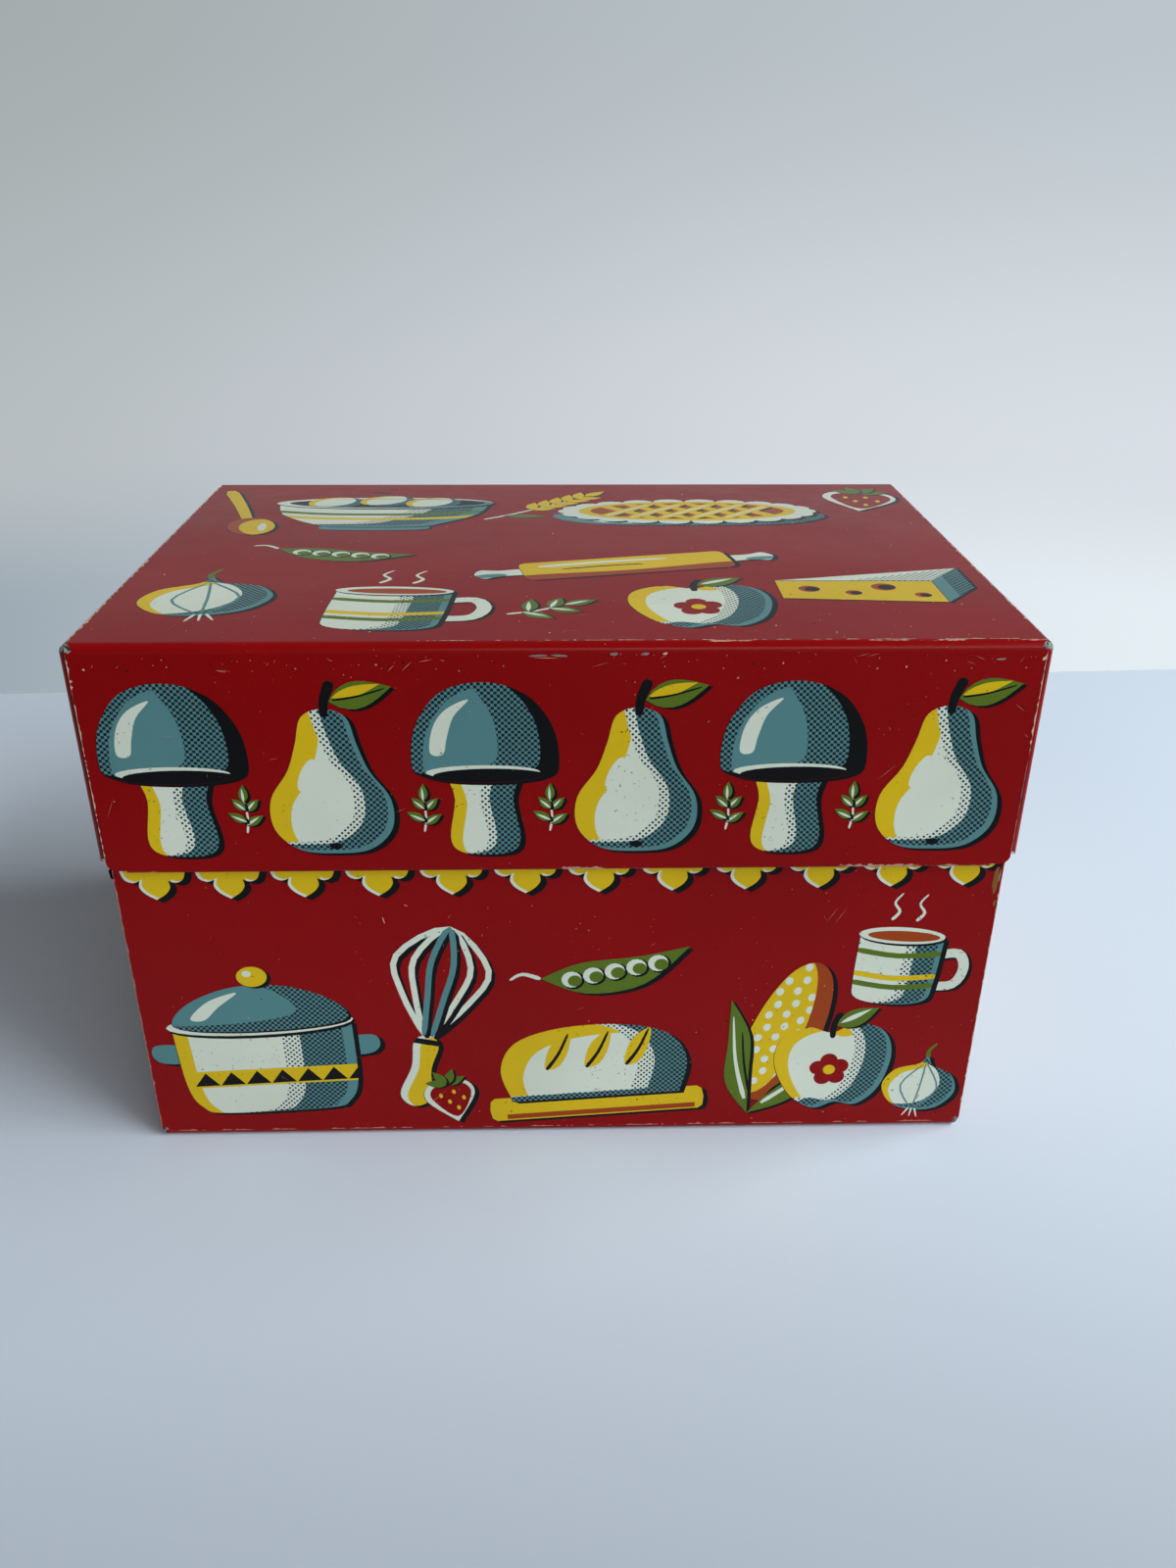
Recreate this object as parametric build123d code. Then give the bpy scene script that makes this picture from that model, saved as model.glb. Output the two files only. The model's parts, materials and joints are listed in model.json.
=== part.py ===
from build123d import *
import os
from math import radians, tan

# Hinged tinplate box for index cards. Millimetres, +Z up, front towards -Y.
# The origin is the centre of the footprint, on the table.

# ---- driving dimensions ----
width = 137.0             # over the lid's end panels
depth = 92.2              # lid's front face to the back face
height = 88.2             # table to the lid's top
rim_height = 53.2         # table to the base's rim, where the hinge line is too
sheet = 0.3               # tinplate thickness

end_clearance = 0.5       # lid's end panel to the base's end panel
front_clearance = 0.3     # lid's rolled front edge to the base's front wall
front_overlap = 1.0       # how far the lid's front edge reaches below the rim
end_overlap = 0.1         # how far its rolled end edges reach below the rim

end_fold = 1.0            # outside radius of the end panels' bends and pressed corners

# The wrapped sheets' raw edges stop short of the end panels' outer faces
lid_setback = 1.1
base_setback = 0.45
relief_side = 0.7         # notch at each end of the base's folds
relief_reach = 2.2

# Free edges
hem_gap = 0.1             # between the two leaves of a flattened hem
hem_drop = 3.5            # length of the inner leaf
roll_bore = 0.2           # inside radius of a rolled edge
roll_sweep = 270.0        # degrees
edge_stop = 1.4           # a hem or roll stops this far from a fold or a rounded corner

# Tabs of the end panels, welded inside the wrapped sheets
tab_width = 7.0
tab_taper = 3.0
tab_relief = 0.8          # from the bend round a corner of the end panel to a tab
tab_clearance = 0.3       # below the inner leaf of the hem

# Rounded free corners
lid_corner = 1.5
end_corner = 1.5
rim_corner = 1.0

# Hinge: curled knuckles on one wire
wire_radius = 0.6
wire_clearance = 0.06
knuckle_count = 7         # odd, so that the base holds both end knuckles
knuckle_gap = 0.25
knuckle_sweep = 280.0     # degrees
hinge_inset = 10.0        # lid's end face to the end of the wire
lid_open = 110.0          # degrees, where the lid comes to its stop
stop_margin = 3.0         # degrees

# ---- places worked out from them ----
back_face = depth / 2
lid_front = -depth / 2
wrap_fold = end_fold + sheet  # the wrapped sheets are folded closely round the end panels
roll_radius = roll_bore + sheet
hem_radius = sheet + hem_gap / 2
base_front = lid_front + 2 * roll_radius + front_clearance
lid_end_face = width / 2
base_end_face = lid_end_face - sheet - end_clearance
lid_edge = lid_end_face - lid_setback
base_edge = base_end_face - base_setback
lid_front_bottom = rim_height - front_overlap
lid_end_bottom = rim_height - end_overlap

barrel_bore = wire_radius + wire_clearance
barrel_radius = barrel_bore + sheet
axis_y = back_face - barrel_radius
axis_z = rim_height
# The sheets beside the knuckles end this far from the axis, which sets where the lid stops.
notch = barrel_radius * tan(radians(lid_open + stop_margin) / 2)
hinge_half = lid_end_face - hinge_inset
knuckle_pitch = 2 * hinge_half / knuckle_count

# Directions
RIGHT = Vector(1, 0, 0)
FRONT = Vector(0, -1, 0)
BACK = Vector(0, 1, 0)
UP = Vector(0, 0, 1)


# ---- sheet metal ----
# A section shows a sheet on its edge: local x points out of the box, local y towards the free edge.
def tin(middle_line):
    return trace(middle_line, line_width=sheet)


def drawn(section, centre, outward, towards, run):
    """Draws a section out evenly to both sides of its centre."""
    plane = Plane(origin=centre, x_dir=outward, z_dir=outward.cross(towards))
    return extrude(plane * section, run / 2, both=True)


def hem_section():
    """The edge folded flat against the inside; its crest is at the origin's height."""
    middle = hem_radius - sheet / 2
    crest = CenterArc((-hem_radius, -hem_radius), middle, 0, 180)
    leaf = Line((-hem_radius - middle, -hem_radius), (-hem_radius - middle, -hem_radius - hem_drop))
    return tin(crest + leaf)


def roll_section():
    """The edge rolled inwards; its crest is at the origin's height."""
    return tin(CenterArc((-roll_radius, -roll_radius), roll_bore + sheet / 2, 0, roll_sweep))


def knuckle_section():
    """The wall beside the notch and its curl round the wire, with the axis at the origin's height."""
    middle = barrel_bore + sheet / 2
    wall = Line((-sheet / 2, -notch), (-sheet / 2, 0))
    return tin(wall + CenterArc((-barrel_radius, 0), middle, 0, knuckle_sweep))


def knuckles(first, towards):
    """Every second knuckle, from the given place on."""
    centres = [(i + 0.5) * knuckle_pitch - hinge_half for i in range(first, knuckle_count, 2)]
    length = knuckle_pitch - knuckle_gap
    return [drawn(knuckle_section(), (x, back_face, axis_z), BACK, towards, length) for x in centres]


def wrapped_sheet(corners, edge, rounding):
    """A strip folded through the given Y-Z corners, with rounded corners at its two free ends."""
    strip = extrude(Plane.YZ * tin(FilletPolyline(*corners, radius=wrap_fold - sheet / 2)), edge, both=True)
    for (y, z), radius in zip((corners[0], corners[-1]), rounding):
        tips = strip.edges().filter_by(Axis.Y).filter_by(lambda e: abs(e.center().Y - y) < sheet / 2)
        tips = tips.filter_by(lambda e: abs(e.center().Z - z) < sheet / 2)
        if radius:
            strip = fillet(tips, radius)
    return strip


def end_panel(length, tall, edge_section, edge_radius):
    """A right-hand end panel with its outer face on x = 0 and its free edge up.

    Its other three sides are bent in all along, with pressed round corners, and end in tabs.
    It stands on the lower one.
    """
    tab_start = end_fold + tab_relief
    shoulder = tall - edge_radius
    tab_top = tall - hem_radius - hem_drop - tab_clearance
    bend_section = tin(CenterArc((-end_fold, end_fold), end_fold - sheet / 2, 270, 90))

    def bend(centre, inward, run):
        return drawn(bend_section, centre, RIGHT, inward, run)

    def tab(centre, inward, run):
        half = run / 2
        outline = Polyline(
            (-end_fold, half),
            (-end_fold, -half),
            (-tab_width, tab_taper - half),
            (-tab_width, half - tab_taper),
            close=True,
        )
        return extrude(Plane(origin=centre, x_dir=RIGHT, z_dir=inward) * make_face(outline), sheet)

    plate = Pos(-sheet / 2, length / 2, (end_fold + shoulder) / 2) * Box(
        sheet, length - 2 * end_fold, shoulder - end_fold
    )
    lower = (0, length / 2, 0)
    panel = plate + bend(lower, UP, length - 2 * end_fold) + tab(lower, UP, length - 2 * tab_start)
    for y, inward, turn in ((0, BACK, -90), (length, FRONT, 90)):
        panel += bend((0, y, (end_fold + shoulder) / 2), inward, shoulder - end_fold)
        panel += tab((0, y, (tab_start + tab_top) / 2), inward, tab_top - tab_start)
        inner = y + end_fold * inward.Y
        corner_axis = Axis((-end_fold, inner, 0), (0, 0, 1))
        panel += revolve(Plane(origin=(0, inner, 0), x_dir=RIGHT, z_dir=FRONT) * bend_section, corner_axis, turn)

    side_view = Pos(length / 2, shoulder / 2) * Rectangle(length, shoulder)
    side_view = fillet(side_view.vertices().group_by(Axis.Y)[-1], end_corner)
    panel = panel & extrude(Plane.YZ * side_view, -tab_width)
    edge_run = length - 2 * (end_fold + edge_stop)
    return panel + drawn(edge_section, (0, length / 2, tall), RIGHT, UP, edge_run)


# ---- base ----
def base_wrap():
    """Front wall, floor and back wall from one strip, with the base's half of the hinge."""
    wall = base_front + sheet / 2
    back = back_face - sheet / 2
    floor = sheet / 2
    corners = [(wall, rim_height - hem_radius), (wall, floor), (back, floor), (back, axis_z - notch)]
    strip = wrapped_sheet(corners, base_edge, (rim_corner, 0))
    hem_run = 2 * (base_edge - rim_corner - edge_stop)
    strip += drawn(hem_section(), (0, base_front, rim_height), FRONT, UP, hem_run)
    ear_width = base_edge - hinge_half - knuckle_gap
    ear = Pos(base_edge - ear_width / 2, back, axis_z - notch / 2) * Box(ear_width, sheet, notch)
    tip = ear.edges().filter_by(Axis.Y).sort_by(lambda e: e.center().X + e.center().Z)[-1]
    ear = fillet(tip, rim_corner)
    strip += [ear, mirror(ear, about=Plane.YZ)]
    strip += knuckles(0, UP)
    notch_outline = Polyline(
        (base_edge, relief_reach),
        (base_edge - relief_side, 0),
        (base_edge - relief_side, -sheet),
        (base_end_face, -sheet),
        (base_end_face, relief_reach),
        close=True,
    )
    for y in (base_front, back_face):
        relief = drawn(make_face(notch_outline), (0, y, 0), RIGHT, UP, 2 * relief_reach)
        strip -= [relief, mirror(relief, about=Plane.YZ)]
    return strip


def base_end():
    length = back_face - base_front - 2 * sheet
    panel = end_panel(length, rim_height - sheet, hem_section(), hem_radius)
    return Pos(base_end_face, base_front + sheet, sheet) * panel


# ---- lid ----
def lid_wrap():
    """Front panel, top and back flap from one strip, with the lid's half of the hinge."""
    wall = lid_front + sheet / 2
    back = back_face - sheet / 2
    top = height - sheet / 2
    corners = [(wall, lid_front_bottom + roll_radius), (wall, top), (back, top), (back, axis_z + notch)]
    strip = wrapped_sheet(corners, lid_edge, (lid_corner, lid_corner))
    roll_run = 2 * (lid_edge - lid_corner - edge_stop)
    strip += drawn(roll_section(), (0, lid_front, lid_front_bottom), FRONT, -UP, roll_run)
    strip += knuckles(1, -UP)
    return strip


def lid_end():
    length = depth - 2 * sheet
    panel = end_panel(length, height - sheet - lid_end_bottom, roll_section(), roll_radius)
    return Pos(lid_end_face, lid_front + sheet, height - sheet) * mirror(panel, about=Plane.XY)


# ---- hinge wire ----
def hinge_wire():
    return Pos(0, axis_y, axis_z) * Rot(0, 90, 0) * Cylinder(wire_radius, 2 * hinge_half)


def main():
    right_base_end = base_end()
    right_lid_end = lid_end()
    pieces = {
        "base_wrap": base_wrap(),
        "base_end_right": right_base_end,
        "base_end_left": mirror(right_base_end, about=Plane.YZ),
        "lid_wrap": lid_wrap(),
        "lid_end_right": right_lid_end,
        "lid_end_left": mirror(right_lid_end, about=Plane.YZ),
        "hinge_wire": hinge_wire(),
    }
    os.makedirs("parts", exist_ok=True)
    for name, piece in pieces.items():
        export_step(piece, f"parts/{name}.step")


main()
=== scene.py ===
import json
from math import cos, hypot, pi, radians, sin
from random import Random

import bpy
from mathutils import Matrix, Vector
from mathutils.geometry import delaunay_2d_cdt

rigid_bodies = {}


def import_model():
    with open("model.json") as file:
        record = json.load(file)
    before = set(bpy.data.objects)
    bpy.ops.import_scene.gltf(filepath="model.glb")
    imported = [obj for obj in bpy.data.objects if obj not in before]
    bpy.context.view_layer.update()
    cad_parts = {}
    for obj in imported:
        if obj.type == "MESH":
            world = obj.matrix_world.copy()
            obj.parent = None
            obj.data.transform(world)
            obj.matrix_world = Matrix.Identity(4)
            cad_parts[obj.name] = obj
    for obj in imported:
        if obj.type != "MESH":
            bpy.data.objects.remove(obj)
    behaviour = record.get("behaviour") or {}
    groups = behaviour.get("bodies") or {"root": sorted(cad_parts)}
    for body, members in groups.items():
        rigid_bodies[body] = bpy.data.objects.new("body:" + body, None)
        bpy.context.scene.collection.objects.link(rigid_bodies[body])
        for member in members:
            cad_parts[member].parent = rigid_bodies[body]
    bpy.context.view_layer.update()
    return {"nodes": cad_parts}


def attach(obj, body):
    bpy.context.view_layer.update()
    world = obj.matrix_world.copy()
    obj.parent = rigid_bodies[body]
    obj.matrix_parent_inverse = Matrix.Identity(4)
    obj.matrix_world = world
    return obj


# Recipe card box: printed tinplate, lid hinged at the back. The sheets, the prints and the textures
# are in millimetres until a mesh or a node takes them; the floor and the lamps are in metres.
for thing in list(bpy.data.objects):  # what Blender starts with
    bpy.data.objects.remove(thing)
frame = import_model()
MM = 0.001

# ---- the box's own dimensions, as in the CAD ----
LID_FRONT, BACK, TOP = -46.1, 46.1, 88.2
BASE_FRONT, RIM = -44.8, 53.2
LID_END, BASE_END = 68.5, 67.7
LID_EDGE, BASE_EDGE = 67.4, 67.25
LID_BOTTOM, LID_END_BOTTOM = 52.2, 53.1
SHEET = 0.3
WRAP_FOLD, END_FOLD = 1.3, 1.0
ROLL, HEM = 0.5, 0.35
HINGE_Y, BARREL = 45.14, 0.96

# ---- camera ----
EYE = Vector((-0.53, -206.22, 148.11)) * MM
YAW, PITCH, TILT = radians(1.55), radians(26.95), radians(0.31)
PICTURE = (1200, 1600)    # pixels
FOCAL = 1269.25           # pixels
SENSOR = 36.0


def look(yaw, pitch, roll):
    """The camera's right, up and forward directions."""
    ahead = Vector((sin(yaw) * cos(pitch), cos(yaw) * cos(pitch), -sin(pitch)))
    right = Vector((cos(yaw), -sin(yaw), 0))
    up = right.cross(ahead)
    return right * cos(roll) + up * sin(roll), up * cos(roll) - right * sin(roll), ahead


right, up, ahead = look(YAW, PITCH, TILT)
camera = bpy.data.objects.new("camera", bpy.data.cameras.new("camera"))
camera.matrix_world = Matrix.Translation(EYE) @ Matrix((right, up, -ahead)).transposed().to_4x4()
camera.data.sensor_width = SENSOR
camera.data.lens = FOCAL * SENSOR / PICTURE[1]
camera.data.clip_start = 0.005
bpy.context.scene.collection.objects.link(camera)
bpy.context.scene.camera = camera


def floor_point(x, y):
    """Where the floor shows at a place in the picture."""
    ray = right * (x - PICTURE[0] / 2) + up * (PICTURE[1] / 2 - y) + ahead * FOCAL
    return EYE + ray * (-EYE.z / ray.z)


# ---- materials ----
def linear(*srgb):
    """A colour for the shaders from its 0 to 255 screen values."""
    return tuple(((c / 255 + 0.055) / 1.055) ** 2.4 if c > 10 else c / 255 / 12.92 for c in srgb) + (1.0,)


class Nodes:
    """A node tree. A value is a number, a colour or another node's output."""

    def __init__(self, tree):
        self.tree = tree
        tree.nodes.clear()

    def set(self, socket, value):
        if isinstance(value, bpy.types.NodeSocket):
            self.tree.links.new(value, socket)
        else:
            socket.default_value = value

    def add(self, kind, values=(), **settings):
        node = self.tree.nodes.new(kind)
        for key, value in settings.items():
            if key in node.inputs:
                self.set(node.inputs[key], value)
            else:
                setattr(node, key, value)
        for socket, value in zip(node.inputs, values):
            self.set(socket, value)
        return node

    def math(self, operation, *values):
        return self.add("ShaderNodeMath", values, operation=operation).outputs[0]

    def mix(self, amount, a, b):
        node = self.add("ShaderNodeMix", data_type="RGBA")
        for i, value in ((0, amount), (6, a), (7, b)):
            self.set(node.inputs[i], value)
        return node.outputs[2]

    def step(self, value, low, high, bottom=0.0, top=1.0):
        """Goes smoothly from bottom to top as value goes from low to high."""
        values = (value, low, high, bottom, top)
        return self.add("ShaderNodeMapRange", values, interpolation_type="SMOOTHSTEP").outputs[0]


class Shader(Nodes):
    """A material's node tree, which works in millimetres."""

    def __init__(self, name):
        self.material = bpy.data.materials.new(name)
        self.material.use_nodes = True
        super().__init__(self.material.node_tree)
        place = self.add("ShaderNodeTexCoord").outputs["Object"]
        self.mm = self.add("ShaderNodeVectorMath", [place], operation="SCALE", Scale=1 / MM).outputs[0]

    def axes(self):
        return self.add("ShaderNodeSeparateXYZ", [self.mm]).outputs

    def noise(self, size, detail=2.0, stretch=(1, 1, 1), rough=0.5):
        """Noise between 0 and 1 whose features are about size millimetres across."""
        where = self.add("ShaderNodeMapping", [self.mm], Scale=[s / size for s in stretch]).outputs[0]
        node = self.add("ShaderNodeTexNoise", Vector=where, Scale=1.0, Detail=detail, Roughness=rough)
        return node.outputs[0]

    def vary(self, noise, bottom=0.0, top=1.0):
        """Spreads the values that a noise mostly has from bottom to top."""
        return self.step(noise, 0.3, 0.7, bottom, top)

    def away(self, *pairs):
        """Distance in millimetres from pairs of a coordinate and a value."""
        squares = [self.math("POWER", self.math("SUBTRACT", a, b), 2.0) for a, b in pairs]
        total = squares[0]
        for square in squares[1:]:
            total = self.math("ADD", total, square)
        return self.math("SQRT", total)

    def ragged(self, distance, size, spread):
        """A distance that varies by spread either way."""
        return self.math("ADD", distance, self.vary(self.noise(size, 3.0), -spread, spread))

    def bump(self, heights):
        """A normal from (height, millimetres) pairs."""
        normal = None
        for height, size in heights:
            node = self.add("ShaderNodeBump", Strength=1.0, Distance=size * MM, Height=height)
            if normal is not None:
                self.set(node.inputs["Normal"], normal)
            normal = node.outputs[0]
        return normal

    def finish(self, **values):
        surface = self.add("ShaderNodeBsdfPrincipled")
        for key, value in values.items():
            self.set(surface.inputs[key.replace("_", " ")], value)
        self.add("ShaderNodeOutputMaterial", [surface.outputs[0]])
        return self.material


RED = linear(131, 1, 3)
WHITE = linear(206, 214, 199)
TEAL = linear(82, 128, 131)
PRIMER = linear(196, 160, 140)
STEEL = linear(142, 141, 135)
# dark dirt for specks on pale inks, and painted shade in seams and in the corners' gaps
DIRT_AND_SHADE = linear(34, 36, 34)
INKS = {
    "white": WHITE,
    "yellow": linear(208, 176, 22),
    "teal": TEAL,
    "green": linear(84, 108, 30),
    "black": linear(12, 13, 15),
    "brown": linear(150, 62, 20),
    "dark_red": linear(66, 8, 22),
    "scratch": linear(178, 120, 108),
    "chip": linear(204, 178, 150),
    "rust": linear(128, 86, 36),
    "stain": linear(70, 22, 20),
    "steel": linear(122, 120, 114),
}
PALE = ("white", "yellow")  # inks on which dirt shows
HALFTONES = {             # ground, dots, and the level above which a dot shows
    "tone": (TEAL, linear(20, 30, 38), 0.0),
    "light": (WHITE, linear(24, 56, 68), 0.3),
}
DOT_PITCH = 0.92
PRINT_MAP = "print"       # the UV map with a print's own millimetres
VARNISH_IOR = 1.22


def tin_bump(s):
    """The sheet's slight waviness and the varnish's texture."""
    wave = s.noise(46.0, 1.0)
    dimple = s.noise(9.0)
    grain = s.noise(0.9)
    return [(wave, 0.55), (dimple, 0.05), (grain, 0.006)]


def halftone(s, ground, dots, level):
    """Dots on a square grid that stands on its corner."""
    uv = s.add("ShaderNodeUVMap", uv_map=PRINT_MAP).outputs[0]
    across = s.add("ShaderNodeSeparateXYZ", [uv]).outputs
    waves = [s.math("COSINE", s.math("MULTIPLY", across[i], 2 * pi / DOT_PITCH)) for i in (0, 1)]
    return s.mix(s.math("GREATER_THAN", s.math("MULTIPLY", *waves), level), ground, dots)


def printed(name, ink, dots=None, edges=(), bare_and_shaded=(), seam_shades=(), spotted=False):
    """Varnished ink on tinplate. Masks say where it is worn to the primer, bare and dirty, and where shade is
    painted into its seams and worn corners.
    """
    s = Shader(name)
    colour = halftone(s, ink, *dots) if dots else ink
    value = s.vary(s.noise(30.0, 3.0), 0.94, 1.05)
    base = s.add("ShaderNodeHueSaturation", Color=colour, Value=value).outputs[0]
    speck = s.step(s.noise(0.42, 1.0), 0.775, 0.80)
    wear = s.math("MULTIPLY", speck, s.step(s.noise(12.0), 0.5, 0.62))
    for edge in edges:
        wear = s.math("MAXIMUM", wear, edge(s))
    base = s.mix(s.math("MULTIPLY", wear, 0.8), base, PRIMER)
    if spotted:
        spot = s.step(s.noise(0.45, 1.0), 0.7, 0.74)
        base = s.mix(s.math("MULTIPLY", spot, s.step(s.noise(8.0), 0.5, 0.6, 0.0, 0.85)), base, DIRT_AND_SHADE)
    # painted shade: each seam mask darkens the colour there towards the dark dirt-and-shade colour
    for seam_shade in seam_shades:
        base = s.mix(seam_shade(s), base, DIRT_AND_SHADE)
    # bare steel at worn corners, mottled dark as painted shade of the gaps there
    for corner in bare_and_shaded:
        metal = corner(s)
        base = s.mix(metal, base, s.mix(s.step(s.noise(0.6), 0.4, 0.6), DIRT_AND_SHADE, STEEL))
        wear = s.math("MAXIMUM", wear, metal)
    rough = s.math("ADD", s.vary(s.noise(3.0, 4.0), 0.17, 0.24), s.math("MULTIPLY", wear, 0.25))
    normal = s.bump([*tin_bump(s), (s.math("SUBTRACT", 1.0, wear), 0.01)])
    return s.finish(Base_Color=base, Roughness=rough, Normal=normal, IOR=VARNISH_IOR)


def near_plane(axis, value, reach):
    """Wear within reach of the places where a coordinate's size has a value."""
    def mask(s):
        away = s.math("ABSOLUTE", s.math("SUBTRACT", s.math("ABSOLUTE", s.axes()[axis]), value))
        ragged = s.math("MULTIPLY", s.noise(1.3, 3.0), reach * 2)
        return s.step(s.math("SUBTRACT", ragged, away), reach * 0.55, reach * 0.75)
    return mask


def seam_shade_from(axis, value, reach):
    """Painted shade in the seam that starts where a coordinate's size has a value."""
    def mask(s):
        size = s.math("ABSOLUTE", s.axes()[axis])
        start = s.step(size, value - 0.02, value, 0.0, 0.9)
        ragged = s.math("SUBTRACT", size, s.vary(s.noise(4.0, 3.0), 0.0, reach))
        return s.math("MULTIPLY", s.step(ragged, value, value + 0.1, 1.0, 0.0), start)
    return mask


def near_fold(y, z, reach, level, drift=0.0):
    """Wear in a thin broken line along a fold in x; drift makes it grow to the right."""
    def mask(s):
        x, py, pz = s.axes()
        away = s.ragged(s.away((py, y), (pz, z)), 0.7, 0.4 * reach)
        band = s.step(away, reach * 0.5, reach * 0.7, 1.0, 0.0)
        chance = s.math("ADD", s.noise(3.4, 4.0, (0.35, 1, 1)), s.math("MULTIPLY", x, drift))
        return s.math("MULTIPLY", band, s.step(chance, level, level + 0.06))
    return mask


def near_corner(x, y, z, reach):
    """Wear to bare metal round a corner, which is also darkened there as painted shade, at the same place
    left and right.
    """
    def mask(s):
        px, py, pz = s.axes()
        away = s.away((s.math("ABSOLUTE", px), x), (py, y), (pz, z))
        return s.step(s.ragged(away, 1.0, 0.5 * reach), reach * 0.8, reach, 1.0, 0.0)
    return mask


def bare_tin(name):
    """Unprinted tinplate inside, with faint crystals, rolling marks and a few dull spots."""
    s = Shader(name)
    crystals = s.noise(2.6, 3.0, (0.7, 1.0, 1.0), rough=0.6)
    drawn = s.noise(0.8, 2.0, (0.03, 1.0, 1.0))
    spot = s.step(s.noise(1.5, 3.0), 0.71, 0.75)
    colour = s.mix(s.vary(s.noise(24.0)), linear(178, 175, 168), linear(192, 190, 184))
    colour = s.mix(s.step(crystals, 0.35, 0.7, 0.0, 0.4), colour, linear(202, 200, 194))
    colour = s.mix(s.math("MULTIPLY", spot, 0.6), colour, linear(118, 96, 68))
    rough = s.math("ADD", s.vary(drawn, 0.3, 0.38), s.vary(crystals, 0.025, 0.0))
    rough = s.math("ADD", rough, s.math("MULTIPLY", spot, 0.3))
    normal = s.bump([*tin_bump(s), (drawn, 0.004)])
    return s.finish(Base_Color=colour, Roughness=rough, Normal=normal, Metallic=0.9)


def raw_edge(name):
    """The sheet's cut edge: primer, ink and bare steel."""
    s = Shader(name)
    colour = s.mix(s.step(s.noise(1.4, 3.0), 0.42, 0.58), linear(206, 170, 158), STEEL)
    colour = s.mix(s.step(s.noise(4.0), 0.58, 0.66), colour, linear(96, 40, 34))
    return s.finish(Base_Color=colour, Roughness=0.5, Normal=s.bump([(s.noise(0.3), 0.02)]), Metallic=0.2)


def wire_steel(name):
    """Drawn wire with a little rust."""
    s = Shader(name)
    drawn = s.noise(0.5, 2.0, (0.04, 1.0, 1.0))
    rust = s.step(s.noise(3.0, 3.0), 0.56, 0.68)
    colour = s.mix(rust, linear(150, 149, 146), linear(104, 70, 44))
    rough = s.math("ADD", s.vary(drawn, 0.28, 0.4), s.math("MULTIPLY", rust, 0.3))
    return s.finish(Base_Color=colour, Roughness=rough, Normal=s.bump([(drawn, 0.01)]), Metallic=0.95)


# ---- ink shapes, drawn flat in millimetres ----
def smooth(points, steps=5, closed=True):
    """A Catmull-Rom curve through the points; a point given twice is a corner."""
    n = len(points)
    curve = []
    for i in range(n if closed else n - 1):
        around = [(i + k) % n if closed else min(max(i + k, 0), n - 1) for k in (-1, 0, 1, 2)]
        (ax, ay), (bx, by), (cx, cy), (dx, dy) = [points[k] for k in around]
        if (bx, by) == (cx, cy):
            continue
        for k in range(steps):
            t = k / steps
            w = (-t + 2 * t**2 - t**3, 2 - 5 * t**2 + 3 * t**3, t + 4 * t**2 - 3 * t**3, t**3 - t**2)
            x = (ax * w[0] + bx * w[1] + cx * w[2] + dx * w[3]) / 2
            y = (ay * w[0] + by * w[1] + cy * w[2] + dy * w[3]) / 2
            curve.append((x, y))
    return curve if closed else curve + [points[-1]]


def halves(right):
    """A smooth outline from its right half, given from top to bottom."""
    return smooth(right + [(-x, y) for x, y in reversed(right) if x > 0])


def both_ends(left):
    """An outline with corners from its left end, given from top to bottom."""
    return left + [(-x, y) for x, y in reversed(left)]


def oval(x, y, rx, ry, turn=0.0, count=26):
    c, s = cos(radians(turn)), sin(radians(turn))
    ring = [(rx * cos(2 * pi * i / count), ry * sin(2 * pi * i / count)) for i in range(count)]
    return [(x + c * a - s * b, y + s * a + c * b) for a, b in ring]


def leaf(x, y, length, broad, turn):
    """A pointed leaf that grows from x, y."""
    c, s = cos(radians(turn)), sin(radians(turn))
    side = [(t / 8, sin(pi * (t / 8) ** 0.8)) for t in range(9)]
    ring = side + [(a, -b) for a, b in reversed(side[1:-1])]
    half = broad / 2
    return [(x + c * a * length - s * b * half, y + s * a * length + c * b * half) for a, b in ring]


def line(points, thick, end=None):
    """A smooth stroke, which may taper to another thickness."""
    path = smooth(points, 4, closed=False)
    last = len(path) - 1
    end = thick if end is None else end
    left, right = [], []
    for i, (x, y) in enumerate(path):
        ax, ay = path[max(i - 1, 0)]
        bx, by = path[min(i + 1, last)]
        run = hypot(bx - ax, by - ay)
        nx, ny = (ay - by) / run, (bx - ax) / run
        half = (thick + (end - thick) * i / last) / 2
        if i in (0, last):
            half *= 0.55
        left.append((x + nx * half, y + ny * half))
        right.append((x - nx * half, y - ny * half))
    return left + right[::-1]


def moved(outline, du, dv):
    return [(x + du, y + dv) for x, y in outline]


class Pen:
    """Adds ink shapes to a list, at one place, size and turn. A shape is known by its index."""

    def __init__(self, shapes, u=0.0, v=0.0, size=1.0, turn=0.0):
        self.shapes = shapes
        self.place = (u, v, size * cos(radians(turn)), size * sin(radians(turn)))

    def put(self, outline):
        u, v, c, s = self.place
        return [(u + c * x - s * y, v + s * x + c * y) for x, y in outline]

    def add(self, ink, placed, inside=(), outside=()):
        self.shapes.append((ink, placed, inside, outside))
        return len(self.shapes) - 1

    def fill(self, ink, outline, *inside, outside=()):
        """A shape that shows only inside some shapes and outside others."""
        return self.add(ink, self.put(outline), inside, outside)

    def shade(self, ink, outline, du, dv, body, grow=1.0):
        """Inks the part of an outline that its copy, moved by du and dv, leaves bare."""
        guide = self.fill(None, [(x * grow + du, y * grow + dv) for x, y in outline])
        return self.fill(ink, outline, body, outside=(guide,))

    def body(self, outline, ink="white", drop=0.8, shades=()):
        """A shape over its drop shadow and the thin dark edge where the inks overlap, and its shades."""
        placed = self.put(outline)
        for step in (0.5, 1.0):
            self.add("black", moved(placed, drop * step, -0.55 * drop * step))
        self.add("dark_red", moved(placed, -0.1, -0.07))
        body = self.add(ink, placed)
        for shade_ink, du, dv, *grow in shades:
            self.shade(shade_ink, outline, du, dv, body, *grow)
        return body


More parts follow.
